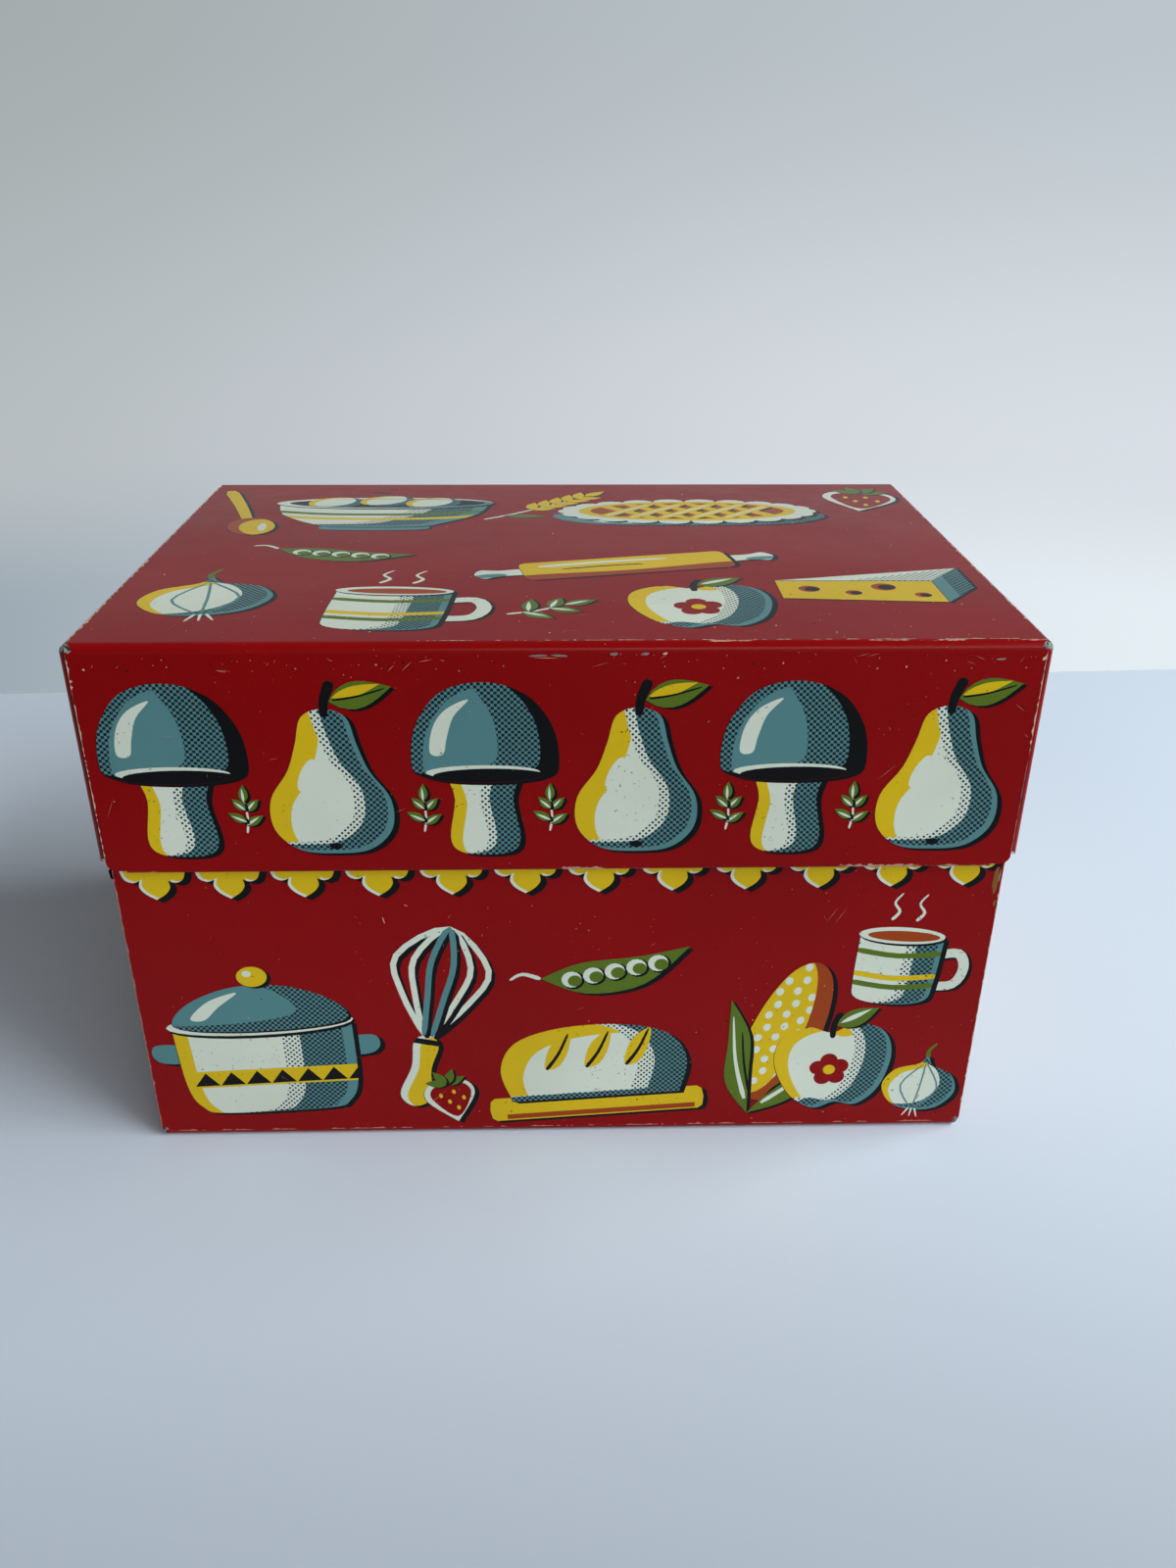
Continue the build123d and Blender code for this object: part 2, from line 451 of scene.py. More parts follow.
def mushroom(pen):
    stem = smooth([
        (-4.3, 13), (-3.9, 8), (-4.7, 2.2), (-3.4, 0), (0.2, -0.5), (3.6, 0), (4.8, 2.2), (3.9, 8), (4.3, 13),
    ])
    pen.body(stem, shades=[("yellow", 1.6, -0.6), ("light", -4.4, 0.2), ("tone", -3.2, 0.2)])
    cap = smooth([
        (0, 25), (5.2, 23.6), (8.6, 19), (9.4, 13.6), (8.2, 11.6), (3.6, 10.7),
        (-3.6, 10.7), (-8.2, 11.6), (-9.4, 13.6), (-8.6, 19), (-5.2, 23.6),
    ])
    dark = [("tone", 1.5, -0.6), ("tone", -7.4, 1.6), ("black", -1.7, 1.0, 0.99)]
    top = pen.body(cap, "teal", shades=dark)
    gleam = [(-6.9, 15.0), (-6.4, 18.6), (-4.6, 21.2), (-1.6, 22.6), (-3.6, 20.2), (-4.6, 17.2), (-5.2, 14.8)]
    pen.fill("white", smooth(gleam), top)
    gills = oval(0, 12.1, 7.6, 1.05)
    under = pen.fill("black", gills)
    pen.shade("white", gills, 0.9, -0.5, under)


def pear(pen):
    outline = halves([
        (0, 21.4), (2.9, 20.2), (4.0, 16.4), (5.4, 12.4), (8.0, 8.2), (7.9, 3.6), (4.8, 0.5), (0, -0.1),
    ])
    shades = [("yellow", 2.7, -1.2), ("light", -5.2, 1.8), ("tone", -3.8, 1.4), ("teal", -0.8, 0.5)]
    body = pen.body(outline, shades=shades)
    pen.fill("black", oval(0.1, 1.0, 0.9, 0.5))
    pen.fill("white", oval(-2.9, 11.8, 0.9, 2.6, -24), body)
    pen.fill("black", line([(0.1, 20.2), (0.3, 22.6), (1.3, 25.2)], 1.0, 1.5))
    green = pen.body(leaf(0.9, 22.4, 8.4, 3.8, 14), "green", 0.6)
    pen.fill("yellow", leaf(1.3, 22.9, 6.6, 1.5, 17), green)
    pen.fill("black", line([(1.4, 22.6), (4.6, 23.1), (8.2, 24.2)], 0.35, 0.2))


def sprig(pen):
    pen.fill("white", line([(0, -5.4), (0.5, -1.6), (0, 3.2)], 0.55, 0.4))
    for x, y, length, turn in (
        (0.1, -3.4, 4.6, 32), (0.2, -2.6, 4.6, 150), (0.3, 0.2, 4.2, 44),
        (0.2, 0.4, 4.0, 134), (0, 2.4, 4.4, 88),
    ):
        blade = pen.body(leaf(x, y, length, 2.1, turn), "green", 0.45)
        pen.fill("white", leaf(x, y, length * 0.8, 0.6, turn + 4), blade)


def pot(pen):
    for x in (-1, 1):
        ear = smooth([(x * 11, 11.8), (x * 14.6, 12.2), (x * 15.4, 10.6), (x * 14.2, 9.2), (x * 11, 9.2)])
        pen.body(ear, "teal")
    side = smooth([
        (-12, 14.6), (-12, 14.6), (-11.7, 5), (-10.2, 1.2), (-7, 0),
        (7, 0), (10.2, 1.2), (11.7, 5), (12, 14.6), (12, 14.6),
    ])
    shades = [("light", -9.6, 0), ("tone", -7.2, 0), ("teal", -1.4, 0), ("yellow", 1.9, -0.4)]
    body = pen.body(side, shades=shades)
    band = pen.fill("yellow", [(-13, 4.6), (13, 4.6), (13, 7.4), (-13, 7.4)], body)
    for i in range(7):
        pen.fill("black", [(-10.6 + i * 3.5, 4.9), (-8.9 + i * 3.5, 7.1), (-7.2 + i * 3.5, 4.9)], body, band)
    pen.fill("black", oval(0, 14.7, 12.6, 2.1))
    rim = pen.fill("white", oval(-0.2, 15.0, 12.5, 1.9))
    pen.fill("black", oval(0.2, 15.0, 11.5, 1.3), rim)
    lid = smooth([
        (-11.6, 15.2), (-9.4, 18.6), (-3.4, 21), (3.4, 21), (9.4, 18.6), (11.6, 15.2), (5, 13.9), (-5, 13.9),
    ])
    top = pen.body(lid, "teal", 0.5, [("tone", -6.8, 1.4)])
    pen.fill("white", smooth([(-9.2, 16.4), (-6.4, 19), (-2.4, 20.2), (-5.2, 18), (-7.4, 16)]), top)
    knob = pen.body(oval(0, 22.6, 2.0, 1.6), "yellow", 0.6)
    pen.fill("white", oval(-0.6, 23.1, 0.6, 0.5), knob)


def corn(pen):
    ear = halves([(0, 24), (2.6, 22), (4.2, 16.5), (4.5, 9), (2.8, 2.6), (0, 1)])
    cob = pen.body(ear, "yellow")
    for row in range(11):
        for k in (-3, -1, 1, 3):
            x, y = k * 1.06 + 0.5 * (row % 2), 3.2 + row * 1.9 + 0.4 * (k % 3)
            pen.fill("white", oval(x, y, 0.5, 0.62, 0, 10), cob)
    pen.shade("brown", ear, -2.4, 0.6, cob)
    for x in (-1, 1):
        husk = smooth([
            (0, -1.4), (0, -1.4), (x * 4.6, 2.6), (x * 6.6, 9), (x * 8.6, 15.4), (x * 8.6, 15.4),
            (x * 4.4, 11), (x * 2.2, 5),
        ])
        green = pen.body(husk, "green", 0.6)
        pen.fill("white", line([(x * 1.2, 0.8), (x * 4.6, 6.4), (x * 7.4, 13)], 0.7, 0.2), green)
        pen.fill("black", line([(x * 1.0, 2.0), (x * 3.4, 6.4), (x * 5.4, 11)], 0.4, 0.2), green)


def whisk(pen):
    grip = halves([(0, 0), (1.5, -1.2), (1.2, -5), (1.9, -9.4), (0, -11)])
    handle = pen.body(grip, "yellow", shades=[("white", 0.9, -0.2)])
    pen.fill("black", [(-1.5, -1.4), (1.5, -1.4), (1.5, -0.6), (-1.5, -0.6)], handle)
    for ink, x in (("white", 5.4), ("white", 3.3), ("teal", 1.3)):
        wire = [(-0.5, 0), (-x * 0.72, 5.4), (-x, 10.6), (0, 15.4), (x, 10.6), (x * 0.72, 5.4), (0.5, 0)]
        pen.fill("black", moved(line(wire, 0.75), 0.5, -0.4))
        pen.fill(ink, line(wire, 0.7))


def loaf(pen):
    board = both_ends([(-13.4, 1.9), (-14, 1.4), (-14.2, 0), (-14, -1.4), (-13.4, -1.9)])
    wood = pen.body(board, "yellow")
    pen.fill("brown", [(-12, -1.7), (13, -1.7), (13, -0.9), (-12, -0.9)], wood)
    crust = smooth([
        (-11, 1.2), (-11, 1.2), (-12.2, 6.4), (-10, 10.8), (-4, 12.8),
        (4, 12.8), (10, 10.8), (12.2, 6.4), (11, 1.2), (11, 1.2),
    ])
    bread = pen.body(crust, shades=[("yellow", 2.8, -1.6), ("light", -6.4, 0.9), ("tone", -4.2, 0.8)])
    for x in (-6.4, -1.2, 4.0):
        cut = smooth([(x, 6.4), (x + 1.0, 10), (x + 3.6, 12.0), (x + 3.2, 9), (x + 1.8, 6.6)])
        pen.fill("yellow", cut, bread)
        pen.fill("black", line([(x + 0.2, 6.2), (x + 1.9, 8.6), (x + 3.4, 11.8)], 0.55, 0.3), bread)


def bowl(pen):
    pen.body(smooth([(-5.4, 1), (-5.8, -1), (5.8, -1), (5.4, 1)]), "teal", 0.6)
    side = smooth([
        (-14, 12), (-14, 12), (-12.6, 6.4), (-8.4, 2), (-5, 0.4),
        (5, 0.4), (8.4, 2), (12.6, 6.4), (14, 12), (14, 12),
    ])
    body = pen.body(side, shades=[("light", -9.2, 1.5), ("tone", -6.6, 1.3), ("teal", -1.4, 0.7)])
    for ink, y in (("green", 0), ("yellow", 2.2)):
        pen.fill(ink, line([(-14, 8.0 - y), (-6, 6.4 - y), (6, 6.4 - y), (14, 8.0 - y)], 1.0), body)
    pen.fill("black", oval(0.4, 11.7, 14.6, 3.0))
    brim = oval(0, 12.1, 14.5, 2.9)
    rim = pen.fill("white", brim)
    well = pen.fill("black", oval(0.3, 12.1, 13.1, 2.1), rim)
    for x, y in ((-6.6, 12.4), (0.2, 13.2), (6.4, 12.2)):
        egg = oval(x, y, 3.7, 2.7, 8)
        shell = pen.fill("white", egg)
        pen.shade("yellow", egg, 0.9, -0.3, shell)
        pen.shade("tone", egg, -1.2, 0.7, shell)
    front = pen.fill(None, [(-15, 12.1), (15, 12.1), (15, 8), (-15, 8)])
    lip = pen.fill("white", brim, front, outside=(well,))
    pen.fill("teal", oval(1.2, 11.9, 13.4, 2.5), lip, outside=(well,))


def apple(pen):
    outline = smooth([
        (0, 14.2), (3.6, 15.6), (7.6, 13.6), (8.6, 9), (6.6, 3.2), (3.2, 0.4),
        (0, 1.2), (-3.2, 0.4), (-6.6, 3.2), (-8.6, 9), (-7.6, 13.6), (-3.6, 15.6),
    ])
    shades = [("yellow", 2.0, -1.0), ("light", -5.4, 1.5), ("tone", -3.8, 1.2), ("teal", -0.7, 0.5)]
    body = pen.body(outline, shades=shades)
    for k in range(5):
        angle = 2 * pi * k / 5 + 0.3
        pen.fill("red", oval(-0.6 + 1.7 * cos(angle), 7.4 + 1.7 * sin(angle), 1.3, 1.3, 0, 16), body)
    pen.fill("yellow", oval(-0.6, 7.4, 0.9, 0.9, 0, 14), body)
    pen.fill("black", line([(0, 13.2), (0.3, 15.4), (1.4, 17.6)], 0.8, 1.2))
    green = pen.body(leaf(0.7, 15.4, 6.6, 3.0, 22), "green", 0.5)
    pen.fill("white", leaf(1.2, 15.8, 5, 0.8, 24), green)


def rolling_pin(pen):
    for x in (-1, 1):
        grip = smooth([
            (x * 12, 1.0), (x * 15.6, 1.1), (x * 17.6, 1.6), (x * 18.6, 0),
            (x * 17.6, -1.6), (x * 15.6, -1.1), (x * 12, -1.0),
        ])
        knob = pen.body(grip)
        pen.fill("teal", oval(x * 16.8, -0.7, 2.0, 0.7), knob)
    barrel = both_ends([(-12, 3.3), (-12.6, 3.0), (-12.9, 2.2), (-12.9, -2.2), (-12.6, -3.0), (-12, -3.3)])
    wood = pen.body(barrel, "yellow")
    under = smooth([(-12.6, -1.4), (0, -1.9), (12.8, -1.2), (12.4, -3.2), (0, -3.5), (-12.2, -3.3)])
    pen.fill("brown", under, wood)
    pen.fill("white", line([(-10.6, 1.6), (-2, 1.9), (5.4, 1.7)], 1.0, 0.5), wood)
    pen.fill("black", line([(-8, 0.1), (-2, 0.3), (2, 0.1)], 0.35), wood)


def cheese(pen):
    face = pen.body([(-11, 0), (8, -1.6), (8, 6.4), (-11, 6.6)], "yellow")
    for x, y, r in ((-7.4, 3.4, 1.3), (-2.4, 1.9, 1.0), (1.6, 4.0, 1.5), (5.6, 1.0, 1.0)):
        hole = pen.fill("brown", oval(x, y, r, r * 0.9, 0, 16), face)
        pen.fill("black", oval(x + 0.3, y - 0.1, r * 0.7, r * 0.6, 0, 14), face, hole)
    top = pen.body([(-11, 6.6), (8, 6.4), (12.4, 11.4)], "white", 0.5)
    pen.fill("light", [(-2, 6.6), (8, 6.4), (12.4, 11.4)], top)
    side = pen.body([(8, -1.6), (12.4, 3.6), (12.4, 11.4), (8, 6.4)], "teal", 0.5)
    pen.fill("tone", [(9.8, 0), (12.4, 3.6), (12.4, 11.4), (9.8, 8.4)], side)


def mug(pen):
    pen.body(line([(6, 9.6), (9.6, 10.2), (11, 7.4), (9.8, 4.2), (6, 3.6)], 1.7), "white", 0.6)
    wall = smooth([
        (-6.8, 13), (-6.8, 13), (-6.6, 4), (-5.6, 0.6), (0, -0.4), (5.6, 0.6), (6.6, 4), (6.8, 13), (6.8, 13),
    ])
    body = pen.body(wall, shades=[("light", -5.9, 0), ("tone", -4.3, 0), ("teal", -0.8, 0)])
    for y, ink in ((3.4, "green"), (5.2, "yellow"), (9.6, "green")):
        pen.fill(ink, line([(-7.4, y + 0.5), (0, y - 0.4), (7.4, y + 0.5)], 1.0), body)
    pen.fill("black", oval(0.2, 12.8, 7.1, 1.7))
    rim = pen.fill("white", oval(-0.1, 13.1, 7.0, 1.6))
    pen.fill("brown", oval(0.2, 13.0, 5.9, 1.0), rim)
    for x in (-2.4, 1.6):
        pen.fill("white", line([(x, 16.0), (x + 1.0, 17.6), (x, 19.2), (x + 1.0, 21.0)], 0.6, 0.25))


def pie(pen):
    dish = smooth([(-16, 3.4), (-12, -2.2), (12, -2.2), (16, 3.4)])
    tin = pen.body(dish, "teal", shades=[("tone", -6, 0.6)])
    pen.fill("white", line([(-13, 0.6), (-11.4, -1.0), (-6, -1.6)], 0.8, 0.3), tin)
    turns = [2 * pi * i / 22 for i in range(22)]
    ring = [oval(15.2 * cos(turn), 4.2 + 5.0 * sin(turn), 2.1, 1.35, 0, 12) for turn in turns]
    for one in ring:
        pen.fill("black", moved(one, 0.5, -0.6))
    for one in ring:
        pen.fill("white", one)
    crust = pen.fill("yellow", oval(0, 4.3, 14.6, 4.9))
    filling = pen.fill("brown", oval(0, 4.4, 13.0, 4.1), crust)
    places = (-8.4, -4.2, 0, 4.2, 8.4)
    lattice = [[(k - lean, 0), (k + lean, 8.8)] for k in places for lean in (-4.6, 4.6)]
    for strip in lattice:
        pen.fill("black", moved(line(strip, 1.7), 0.4, -0.25), filling)
    for strip in lattice:
        pen.fill("yellow", line(strip, 1.5), filling)
    for k in places:
        pen.fill("white", line([(k - 3.6, 1.0), (k + 3.4, 7.6)], 0.35), filling)


def pea_pod(pen):
    pod = smooth([(-9, 0), (-9, 0), (-4, -3.0), (3, -2.8), (9, 1.6), (9, 1.6), (3, 1.2), (-4, 1.4)])
    body = pen.body(pod, "green")
    for i in range(5):
        x = -5.4 + i * 2.6
        y = -0.4 + 0.06 * x
        pen.fill("black", oval(x + 0.2, y - 0.15, 1.35, 1.3, 0, 14), body)
        pen.fill("white", oval(x, y, 1.2, 1.15, 0, 14), body)
        pen.fill("green", oval(x + 0.35, y - 0.25, 0.85, 0.8, 0, 12), body)
    pen.fill("white", line([(-9, 0), (-11, 1.0), (-12.6, 0.4)], 0.6, 0.3))


def berry(pen):
    body = pen.body(smooth([(0, 7), (3.4, 6.6), (4.2, 3.4), (0, -2), (0, -2), (-4.2, 3.4), (-3.4, 6.6)]))
    flesh = smooth([(0.2, 6.4), (3.0, 6.0), (3.6, 3.4), (0.2, -0.9), (-3.2, 3.6), (-2.6, 6.0)])
    inner = pen.fill("red", flesh, body)
    for x, y in ((-1.6, 4.2), (0.8, 4.6), (2.2, 3.0), (-0.4, 2.6), (0.8, 1.0)):
        pen.fill("yellow", oval(x, y, 0.32, 0.5, 0, 10), inner)
    for turn in (18, 60, 118, 162):
        pen.body(leaf(0, 6.4, 3.6, 1.6, turn), "green", 0.4)


def wheat(pen):
    pen.fill("white", line([(0, -10), (0.6, -3), (0, 7)], 0.55, 0.35))
    for i in range(5):
        for turn in (128, 52):
            pen.body(leaf(0.1, -1.6 + i * 2.3, 3.8, 1.8, turn), "yellow", 0.4)
    pen.body(leaf(0, 9.4, 4.2, 1.8, 92), "yellow", 0.4)
    pen.body(leaf(0.3, -6.6, 6.2, 1.7, 42), "green", 0.4)


def spoon(pen):
    pen.body(line([(0, 3.2), (0.2, 12), (0, 22)], 1.5, 2.1), "yellow")
    dish = pen.body(oval(0, 0, 3.3, 4.6), "yellow", shades=[("brown", 1.3, -1.0, 0.94)])
    pen.fill("white", oval(1.4, -1.0, 0.6, 2.0, -14), dish)


def onion(pen):
    outline = halves([(0, 12.6), (1.2, 10.6), (5.2, 8.8), (6.8, 5.0), (4.4, 1.2), (0, 0)])
    body = pen.body(outline, shades=[("yellow", 1.4, -0.7), ("tone", -3.2, 1.0), ("teal", -0.6, 0.4)])
    for bend in (-3.4, 0.2, 3.4):
        pen.fill("teal", line([(bend * 0.1, 10.6), (bend, 5.4), (bend * 0.2, 0.8)], 0.32), body)
    for x in (-1.4, 0, 1.4):
        pen.fill("white", line([(x * 0.4, 0.4), (x, -1.6)], 0.4, 0.2))
    pen.fill("green", line([(0, 12.2), (-0.2, 13.6), (0.8, 15.4)], 0.9, 0.4))


def trim(shapes, centres, level, slope=0.0):
    """A row of hanging trefoils, with the lobes' hollow at one level, or along a slight slope."""
    for u in centres:
        edge = TRIM_TOP - level - slope * u
        right = [
            (0, -2.7), (0, -2.7), (1.5, -1.7), (2.3, -0.5), (2.1, 0.7), (2.1, 0.7),
            (3.2, 0.3), (4.4, 0.9), (4.9, 2.5), (4.9, edge), (4.9, edge),
        ]
        hang = smooth([(-x, y) for x, y in right[:1:-1]] + right, 3)
        pen = Pen(shapes, u, level + slope * u)
        white = pen.body(hang, drop=1.0)
        pen.fill("yellow", moved(hang, 0.45, 0.25), white)


# ---- wear on the print ----
def scuffs(shapes, marks):
    """Scratches and blots from one point to another, each of a thickness."""
    for n, (ink, u, v, end_u, end_v, thick) in enumerate(marks):
        along = ((end_u - u) / 2, (end_v - v) / 2)
        run = hypot(*along)
        across = (-along[1] / run * thick / 2, along[0] / run * thick / 2)
        wobble = Random(n)
        sides = 4 if run > 5 * thick else 11
        blot = []
        for i in range(sides):
            angle = 2 * pi * i / sides
            reach = wobble.uniform(0.7, 1.15) if sides > 4 else 1.0
            a, b = reach * cos(angle), reach * sin(angle)
            blot.append((u + along[0] * (1 + a) + across[0] * b, v + along[1] * (1 + a) + across[1] * b))
        Pen(shapes).fill(ink, blot)


def worn_edge(shapes, seed, start, end, share, most, ink="chip"):
    """A ragged, broken line of wear along an edge, on the left of the way from start to end.

    The breaks get shorter as share goes to 1, and most is its greatest breadth, but for a few spikes.
    """
    draw = Random(seed)
    length = hypot(end[0] - start[0], end[1] - start[1])
    ax, ay = (end[0] - start[0]) / length, (end[1] - start[1]) / length
    place = draw.uniform(0, 1.5)
    while place < length - 0.6:
        run = min(0.5 + 6 * draw.random() ** 2.5, length - place)
        count = max(3, int(run / 0.45))
        outer = [(place + run * i / count, -0.02) for i in range(count + 1)]
        inner = [(s, 0.05 + most * (draw.random() ** 2 + (draw.random() < 0.06))) for s, _ in outer[1:-1]]
        strip = outer + inner[::-1]
        Pen(shapes).fill(ink, [(start[0] + ax * s - ay * t, start[1] + ay * s + ax * t) for s, t in strip])
        place += run + (0.15 + 3.2 * draw.random() ** 2) * (1 - share) * 2


def random_scuffs(shapes, seed, area, scratches, chips):
    """Fine scratches and specks strewn over an area, most of them small."""
    draw = Random(seed)
    left, low, high_u, high_v = area
    marks = []
    for _ in range(scratches):
        u, v, turn = draw.uniform(left, high_u), draw.uniform(low, high_v), draw.gauss(0.5, 0.7)
        run = 0.6 + 3.4 * draw.random() ** 3
        end_u = min(max(u + run * cos(turn), left), high_u)
        end_v = min(max(v + run * sin(turn), low), high_v)
        marks.append(("scratch", u, v, end_u, end_v, draw.uniform(0.03, 0.07)))
    for _ in range(chips):
        u, v, size = draw.uniform(left, high_u), draw.uniform(low, high_v), 0.1 + 0.26 * draw.random() ** 3
        ink = draw.choice(("chip", "scratch", "black"))
        marks.append((ink, u, v, u + size, v + size * draw.uniform(-1, 1), size))
    scuffs(shapes, marks)


# ---- what is printed on each face; u goes right and v up, and z is v on the upright faces ----
TRIM_TOP = 52.6           # a row of trefoils hangs from here, under the base's rim
TRIM_LEVEL = 50.0
TRIM_PITCH = 11.15
TOP_FRONT = LID_FRONT + WRAP_FOLD  # where the lid's flat top begins
END_AREA = (-43, 2, 43, 51)  # left, low, right and high on the base's ends


def row(count, pitch, shift=0.0):
    """Places in a row about the middle of a face."""
    return [(i - (count - 1) / 2) * pitch + shift for i in range(count)]


def lay(shapes, *motifs):
    """Draws motifs, each at a place, size and turn."""
    for motif, *place in motifs:
        motif(Pen(shapes, *place))


def frieze(shapes, centres, level, size):
    """Mushrooms and pears in turn, with sprigs between them under the caps."""
    for i, u in enumerate(centres):
        lay(shapes, ((mushroom, pear)[i % 2], u, level, size))
        if i % 2 == 0:
            for side in (-8.2, 8.8):
                if min(centres) < u + side < max(centres):
                    lay(shapes, (sprig, u + side * size, level + 6.4 * size, 0.6 * size))


def print_lid_front(shapes):
    frieze(shapes, row(6, 22.1, -0.2), 55.6, 1.08)
    scuffs(shapes, [
        ("scratch", -47.3, 84.5, -46.0, 84.3, 0.16), ("scratch", -23.9, 84.2, -22.9, 85.2, 0.1),
        ("scratch", -22.0, 84.2, -20.4, 85.8, 0.1), ("scratch", -19.6, 85.6, -17.6, 86.0, 0.12),
        ("steel", -4.4, 86.45, -1.6, 86.5, 0.34), ("steel", -1.4, 86.5, 0.9, 86.4, 0.3),
        ("chip", -3.9, 86.15, -0.3, 86.1, 0.08), ("steel", 6.6, 86.6, 8.0, 86.7, 0.5),
        ("steel", 11.0, 86.6, 12.2, 86.7, 0.45), ("chip", 14.0, 86.6, 14.7, 86.8, 0.35),
        ("steel", 60.4, 85.6, 61.8, 85.7, 0.36), ("scratch", 64.0, 79.0, 65.8, 77.6, 0.07),
        ("scratch", 66.2, 74.2, 66.8, 73.6, 0.08), ("chip", 66.8, 85.8, 67.3, 85.6, 0.6),
        ("scratch", 56.2, 85.4, 57.6, 84.9, 0.06), ("scratch", 57.4, 86.2, 59.0, 85.5, 0.06),
    ])
    random_scuffs(shapes, 11, (-66, 55, 66, 86), 26, 20)
    random_scuffs(shapes, 13, (-66, 84.2, 66, 86.6), 18, 48)
    worn_edge(shapes, 21, (-LID_EDGE, 86.5), (-LID_EDGE, 81.5), share=0.95, most=0.34)
    worn_edge(shapes, 23, (-LID_EDGE, 81.0), (-LID_EDGE, 55.0), share=0.88, most=0.15)
    worn_edge(shapes, 22, (LID_EDGE, 70.0), (LID_EDGE, 86.5), share=0.85, most=0.16)


def print_lid_top(shapes):
    lay(
        shapes,
        (spoon, -55, 14, 1.25, 20), (bowl, -33, 13, 1.42), (wheat, -4, 27, 1.3, -48), (pie, 24, 18, 1.4),
        (berry, 57, 27, 1.6, -12), (onion, -52, -34, 1.45, 8), (pea_pod, -36, -3, 1.3, -14),
        (mug, -26, -40, 1.3, -3), (rolling_pin, 11, -10, 1.35, 12), (sprig, -2, -31, 1.2, -64),
        (apple, 22, -40, 1.25, 5), (cheese, 48, -27, 1.3),
    )
    scuffs(shapes, [
        ("stain", -36.5, 38.5, -33.0, 38.0, 1.5), ("stain", -33.5, 40.5, -31.6, 40.8, 0.8),
        ("scratch", -28.0, 31.0, -24.2, 34.6, 0.06), ("scratch", 12.0, -30.0, 19.0, -27.4, 0.06),
    ])
    random_scuffs(shapes, 12, (-66, -43, 66, 43), 60, 110)
    random_scuffs(shapes, 14, (-66, -44.5, 66, -24), 12, 90)
    worn_edge(shapes, 25, (-LID_EDGE, 44.5), (-LID_EDGE, -44.6), share=0.85, most=0.22)
    worn_edge(shapes, 26, (LID_EDGE, -44.6), (LID_EDGE, 44.5), share=0.5, most=0.16)
    worn_edge(shapes, 28, (-20, TOP_FRONT), (67.2, TOP_FRONT), share=0.45, most=0.14)


def print_base_front(shapes):
    trim(shapes, row(12, TRIM_PITCH), TRIM_LEVEL + 0.2, 0.011)
    lay(
        shapes,
        (pot, -47.4, 5.4, 1.2, 3), (whisk, -21.8, 20.6, 1.36, -12), (loaf, 5.6, 6.0, 1.26, 4),
        (berry, -18.0, 4.4, 0.96, 12), (pea_pod, 8.4, 33.4, 1.34, 9), (corn, 31.4, 5.2, 1.26, -18),
        (apple, 45.6, 4.4, 1.12, 6), (mug, 52.4, 26.2, 0.98, -4), (onion, 58.8, 3.8, 0.92, -8),
    )
    scuffs(shapes, [
        ("chip", -27.6, 43.4, -27.3, 42.2, 0.14), ("chip", -24.2, 45.6, -23.6, 45.3, 0.16),
        ("scratch", -23.9, 9.6, -20.6, 12.6, 0.07), ("scratch", -22.6, 6.0, -19.2, 9.4, 0.07),
        ("scratch", 4.6, 8.4, 6.4, 9.4, 0.12), ("scratch", -12.2, 4.2, -10.4, 4.0, 0.08),
        ("rust", 66.4, 51.6, 66.3, 46.6, 0.9), ("rust", 66.8, 45.6, 66.7, 44.2, 0.5),
        ("steel", 66.9, 51.0, 66.8, 48.6, 0.3), ("steel", 66.6, 2.2, 66.9, 0.9, 0.4),
    ])
    random_scuffs(shapes, 13, (-66, 2, 66, 51), 34, 34)
    worn_edge(shapes, 29, (-67.22, 51.5), (-67.22, 2.4), share=0.8, most=0.14, ink="scratch")
    worn_edge(shapes, 30, (BASE_EDGE, 2.4), (BASE_EDGE, 51.5), share=0.0, most=0.14)
    worn_edge(shapes, 31, (-66, 1.25), (66, 1.25), share=0.0, most=0.2, ink="scratch")


def print_base_left(shapes):
    trim(shapes, row(8, TRIM_PITCH), TRIM_LEVEL)
    lay(
        shapes,
        (bowl, -20, 12.5, 1.15), (spoon, -39, 14, 0.95, 14), (apple, 9.5, 8, 1.1, -6),
        (berry, 26.5, 8.4, 1.1, 10), (whisk, 35, 22, 1.1, 12), (sprig, 22, 31, 0.9, 30),
    )
    random_scuffs(shapes, 14, END_AREA, 24, 24)


def print_base_right(shapes):
    trim(shapes, row(8, TRIM_PITCH), TRIM_LEVEL)
    lay(
        shapes,
        (mug, -34, 8.5, 1.1), (pie, -4, 13, 1.02), (wheat, -12, 34, 1.0, -62),
        (corn, 22, 8, 1.05, -14), (onion, 37, 7.4, 1.05, 6), (pea_pod, 28, 39.6, 0.9, 8),
    )
    random_scuffs(shapes, 15, END_AREA, 24, 24)


def print_lid_end(shapes):
    frieze(shapes, row(4, 22.4, -0.4), 56.6, 1.06)
    random_scuffs(shapes, 16, (-43, 56, 43, 86), 20, 20)


def print_lid_back(shapes):
    frieze(shapes, row(6, 22.1, -0.4), 57.6, 1.0)
    random_scuffs(shapes, 17, (-65, 58, 65, 86), 30, 26)


def print_base_back(shapes):
    lay(
        shapes,
        (pie, -44, 16, 1.05), (wheat, -26, 34, 1.0, -60), (loaf, -9, 7.4, 1.0, -3),
        (sprig, 4, 34, 0.9, -20), (cheese, 21, 10, 1.0), (rolling_pin, 30, 35, 1.0, 10),
        (onion, 39, 6.2, 0.9, 6), (pear, 55, 8, 1.05),
    )
    random_scuffs(shapes, 18, (-65, 2, 65, 50), 30, 26)


